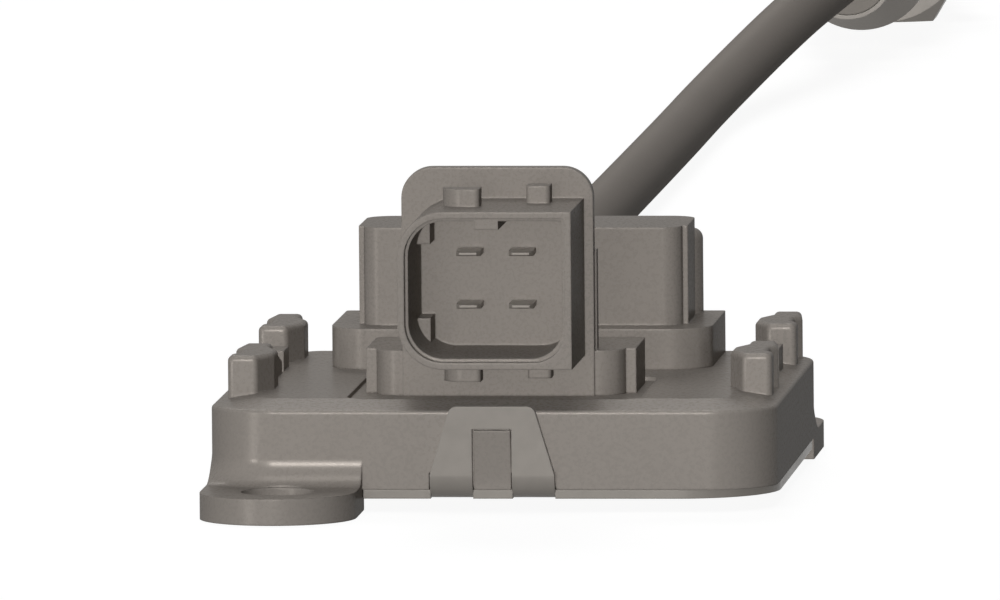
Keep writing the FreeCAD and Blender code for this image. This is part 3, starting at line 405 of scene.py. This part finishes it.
# Geometry Nodes: a spiral swept with a V profile that runs out at both ends
def makeThreadTree():
    tree = bpy.data.node_groups.new("threadRidge", "GeometryNodeTree")
    sockets = [("Geometry", "Geometry"), ("Radius", "Float"), ("Length", "Float"), ("Turns", "Float"),
               ("Crest Height", "Float"), ("Base Width", "Float"), ("Steps Per Turn", "Int"),
               ("Finish", "Material")]
    for socketName, kind in sockets:
        tree.interface.new_socket(name=socketName, in_out="INPUT", socket_type="NodeSocket" + kind)
    tree.interface.new_socket(name="Geometry", in_out="OUTPUT", socket_type="NodeSocketGeometry")
    add, link = tree.nodes.new, tree.links.new
    entry, leave = add("NodeGroupInput"), add("NodeGroupOutput")
    given = entry.outputs
    spiral = add("GeometryNodeCurveSpiral")
    link(given["Steps Per Turn"], spiral.inputs["Resolution"])
    link(given["Turns"], spiral.inputs["Rotations"])
    link(given["Radius"], spiral.inputs["Start Radius"])
    link(given["Radius"], spiral.inputs["End Radius"])
    link(given["Length"], spiral.inputs["Height"])
    along = add("GeometryNodeSplineParameter").outputs["Factor"]
    nearer = mathNode(tree, "MINIMUM", along, mathNode(tree, "SUBTRACT", 1.0, along))
    runout = rangeNode(tree, nearer, 0.0, threadCut["runoutShare"], threadCut["runoutScale"], 1.0)
    upright = add("GeometryNodeSetCurveNormal")
    upright.mode = "Z_UP"
    link(spiral.outputs["Curve"], upright.inputs["Curve"])
    profile = add("GeometryNodeCurvePrimitiveQuadrilateral")
    profile.mode = "TRAPEZOID"
    profile.inputs["Offset"].default_value = 0.0
    topWidth = mathNode(tree, "MULTIPLY", given["Base Width"], threadCut["topShare"])
    link(given["Base Width"], profile.inputs["Bottom Width"])
    link(topWidth, profile.inputs["Top Width"])
    link(given["Crest Height"], profile.inputs["Height"])
    sweep = add("GeometryNodeCurveToMesh")
    sweep.inputs["Fill Caps"].default_value = True
    link(upright.outputs["Curve"], sweep.inputs["Curve"])
    link(profile.outputs["Curve"], sweep.inputs["Profile Curve"])
    link(runout, sweep.inputs["Scale"])
    wear = add("GeometryNodeSetMaterial")
    link(sweep.outputs["Mesh"], wear.inputs["Geometry"])
    link(given["Finish"], wear.inputs["Material"])
    link(wear.outputs["Geometry"], leave.inputs["Geometry"])
    return tree


def setTreeInputs(modifier, values):
    for item in modifier.node_group.interface.items_tree:
        if item.item_type == "SOCKET" and item.in_out == "INPUT" and item.name in values:
            modifier[item.identifier] = values[item.name]


def plainMesh(worker, meshName):
    bpy.context.view_layer.update()
    evaluated = worker.evaluated_get(bpy.context.evaluated_depsgraph_get())
    mesh = bpy.data.meshes.new_from_object(evaluated)
    mesh.name = meshName
    source = worker.data
    bpy.data.objects.remove(worker)
    bpy.data.meshes.remove(source)
    return mesh


def threadRidgeMesh():
    worker = bpy.data.objects.new("threadWorker", bpy.data.meshes.new("threadWorker"))
    bpy.context.scene.collection.objects.link(worker)
    modifier = worker.modifiers.new("thread", "NODES")
    modifier.node_group = makeThreadTree()
    length = threadCut["end"] - threadCut["start"] - threadCut["pitch"]
    height = threadCut["crest"] - threadCut["root"]
    setTreeInputs(modifier, {
        "Radius": (threadCut["root"] + height / 2 - threadCut["sunk"]) * mm, "Length": length * mm,
        "Turns": length / threadCut["pitch"], "Crest Height": (height + 2 * threadCut["sunk"]) * mm,
        "Base Width": threadCut["pitch"] * threadCut["baseShare"] * mm, "Steps Per Turn": threadCut["steps"],
        "Finish": finishes["probe_steel"],
    })
    mesh = plainMesh(worker, "threadRidge")
    start = Vector((threadCut["axisX"], threadCut["start"] + threadCut["pitch"] / 2, threadCut["axisZ"])) * mm
    mesh.transform(Matrix.Translation(start) @ Matrix.Rotation(math.radians(-90), 4, "X"))
    return mesh


# The solid's plain crest is turned down to the thread's root before the ridge goes on it
def buildProbeBody():
    front, rear = threadCut["start"] - threadCut["zoneBefore"], threadCut["end"] + threadCut["zoneAfter"]
    crest = threadCut["crest"] - threadCut["crestSlack"]
    work = bmesh.new()
    work.from_mesh(weldedMesh("hex_fitting", "probeBody", False))
    for corner in work.verts:
        out = Vector((corner.co.x / mm - threadCut["axisX"], corner.co.z / mm - threadCut["axisZ"]))
        if front < corner.co.y / mm < rear and out.length > crest:
            out *= threadCut["root"] / out.length
            corner.co.x = (threadCut["axisX"] + out.x) * mm
            corner.co.z = (threadCut["axisZ"] + out.y) * mm
    ridge = threadRidgeMesh()
    print("thread ridge faces:", len(ridge.polygons))
    work.from_mesh(ridge)
    mesh = bpy.data.meshes.new("probeBody")
    work.to_mesh(mesh)
    work.free()
    weightNormals(addPiece("probeBody", mesh, "probe_steel", ["hex_fitting"]))
    print("probe body built")


buildProbeBody()


# Studio: white floor, white surround, two lamps in front, one on the left, one overhead, one behind.
# Only the last two cast shadows, so the shroud's inside and the tower are as light as the front.
# The floor's half is in metres, its drop below the object in millimetres, angles in degrees.

studio = {"floorHalf": 6.0, "floorGray": 0.22, "floorGlow": 0.89, "floorDrop": 0.02, "bounceGray": 0.10,
          "air": 0.06,
          "front": {"azimuth": 8.0, "elevation": 8.0, "strength": 0.45, "spread": 25.0, "shadow": False},
          "high": {"azimuth": 2.0, "elevation": 16.0, "strength": 1.48, "spread": 8.0, "shadow": False},
          "left": {"azimuth": 38.0, "elevation": 3.0, "strength": 0.6, "spread": 5.0, "shadow": False},
          "top": {"azimuth": 10.0, "elevation": 84.0, "strength": 0.54, "spread": 30.0, "shadow": True},
          "back": {"azimuth": 170.0, "elevation": 40.0, "strength": 0.68, "spread": 20.0, "shadow": True}}


def seenDirectly(tree):  # 1 for camera, glossy and transmission rays
    path = tree.nodes.new("ShaderNodeLightPath")
    first = mathNode(tree, "MAXIMUM", path.outputs["Is Camera Ray"], path.outputs["Is Glossy Ray"])
    return mathNode(tree, "MAXIMUM", first, path.outputs["Is Transmission Ray"])


def makeFloor():
    half = studio["floorHalf"]
    mesh = bpy.data.meshes.new("studioFloor")
    corners = [(-half, -half, 0), (half, -half, 0), (half, half, 0), (-half, half, 0)]
    mesh.from_pydata(corners, [], [(0, 1, 2, 3)])
    floor = bpy.data.objects.new("studioFloor", mesh)
    floor.location.z = -studio["floorDrop"] * mm
    bpy.context.scene.collection.objects.link(floor)
    material = bpy.data.materials.new("paleFloor")
    material.use_nodes = True
    tree = material.node_tree
    tree.nodes.clear()
    leave = tree.nodes.new("ShaderNodeOutputMaterial")
    lit, bounce = tree.nodes.new("ShaderNodeBsdfDiffuse"), tree.nodes.new("ShaderNodeBsdfDiffuse")
    lit.inputs["Color"].default_value = (*[studio["floorGray"]] * 3, 1)
    bounce.inputs["Color"].default_value = (*[studio["bounceGray"]] * 3, 1)
    glow = tree.nodes.new("ShaderNodeEmission")
    glow.inputs["Strength"].default_value = studio["floorGlow"]
    both = tree.nodes.new("ShaderNodeAddShader")
    tree.links.new(lit.outputs[0], both.inputs[0])
    tree.links.new(glow.outputs[0], both.inputs[1])
    choose = tree.nodes.new("ShaderNodeMixShader")
    tree.links.new(seenDirectly(tree), choose.inputs[0])
    tree.links.new(bounce.outputs[0], choose.inputs[1])
    tree.links.new(both.outputs[0], choose.inputs[2])
    tree.links.new(choose.outputs[0], leave.inputs["Surface"])
    mesh.materials.append(material)


def makeSurround():
    world = bpy.data.worlds.new("studioWorld")
    world.use_nodes = True
    tree = world.node_tree
    background = tree.nodes["Background"]
    background.inputs["Color"].default_value = (1, 1, 1, 1)
    strength = rangeNode(tree, seenDirectly(tree), 0.0, 1.0, studio["air"], 1.0)
    tree.links.new(strength, background.inputs["Strength"])
    bpy.context.scene.world = world


def makeLamp(name, values):
    lamp = bpy.data.lights.new(name, "SUN")
    lamp.energy = values["strength"]
    lamp.angle = math.radians(values["spread"])
    lamp.use_shadow = values["shadow"]
    holder = bpy.data.objects.new(name, lamp)
    azimuth, elevation = math.radians(values["azimuth"]), math.radians(values["elevation"])
    source = Vector((-math.sin(azimuth) * math.cos(elevation), -math.cos(azimuth) * math.cos(elevation),
                     math.sin(elevation)))
    holder.rotation_mode = "QUATERNION"
    holder.rotation_quaternion = source.to_track_quat("Z", "Y")
    bpy.context.scene.collection.objects.link(holder)


makeFloor()
makeSurround()
for lampName in ("front", "high", "left", "top", "back"):
    makeLamp(lampName + "Lamp", studio[lampName])
bpy.context.scene.view_settings.view_transform = "Standard"
print("studio ready")
